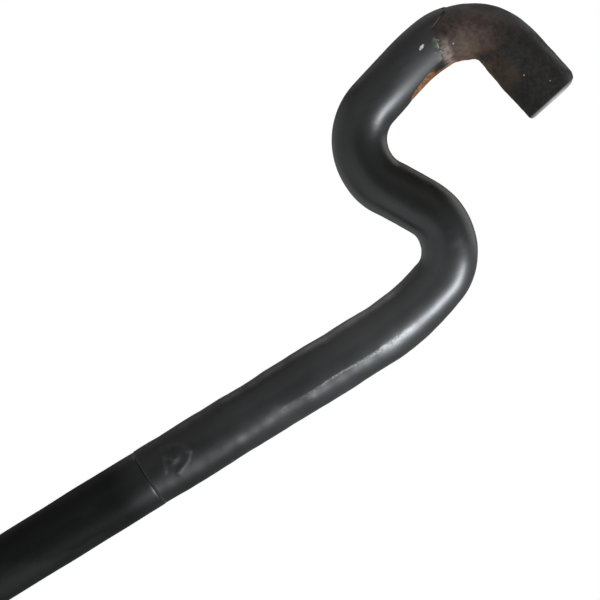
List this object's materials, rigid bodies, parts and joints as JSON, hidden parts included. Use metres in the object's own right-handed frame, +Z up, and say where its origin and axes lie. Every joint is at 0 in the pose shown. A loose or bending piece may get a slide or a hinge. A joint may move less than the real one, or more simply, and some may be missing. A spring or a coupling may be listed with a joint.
{
  "type": "cane bolt",
  "caption": "Gate drop bolt: a heavy round rod with a sleeved crook handle lifts and turns in a welded, screwed-on guide bracket.",
  "frame": {"origin": "middle of the back plate's rear face, which lies on the gate", "axes": "+Y out of the rear face into the gate, so the bolt's front looks along -Y; +Z up along the rod, towards the crook; +X to the right seen from the front"},
  "size_m": [0.1138, 0.0954, 0.6179],
  "materials": {
    "rusted_steel": "bare forged bar with dark scale and light orange rust",
    "black_tubing": "satin black shrunk tubing, scuffed",
    "dark_tubing": "deeper black shrunk tubing",
    "black_paint": "satin black paint worn at the edges",
    "zinc_plate": "dull zinc plating",
    "pin_steel": "oiled spring steel"
  },
  "bodies": {
    "bracket": {"back_plate": "black_paint", "top_guide": "black_paint", "bottom_guide": "black_paint", "gusset_top_left": "black_paint", "gusset_top_right": "black_paint", "gusset_bottom_left": "black_paint", "gusset_bottom_right": "black_paint", "coach_screw_top_left": "zinc_plate", "coach_screw_top_right": "zinc_plate", "coach_screw_bottom_left": "zinc_plate", "coach_screw_bottom_right": "zinc_plate", "screw_washer_top_left": "zinc_plate", "screw_washer_top_right": "zinc_plate", "screw_washer_bottom_left": "zinc_plate", "screw_washer_bottom_right": "zinc_plate"},
    "lift_collar": {"lift_washer": "zinc_plate"},
    "cane": {"cane_rod": "rusted_steel", "grip_sleeve": "black_tubing", "shaft_sleeve": "dark_tubing", "rest_pin": "pin_steel", "stop_pin": "pin_steel"}
  },
  "joints": [
    {"name": "bolt_lift", "type": "slide", "parent": "bracket", "child": "lift_collar", "axis": [0, 0, 1], "range_m": [0, 0.108]},
    {"name": "bolt_turn", "type": "hinge", "parent": "lift_collar", "child": "cane", "pos_m": [0, -0.02658, 0], "axis": [0, 0, 1], "range_deg": [0, 180]}
  ]
}
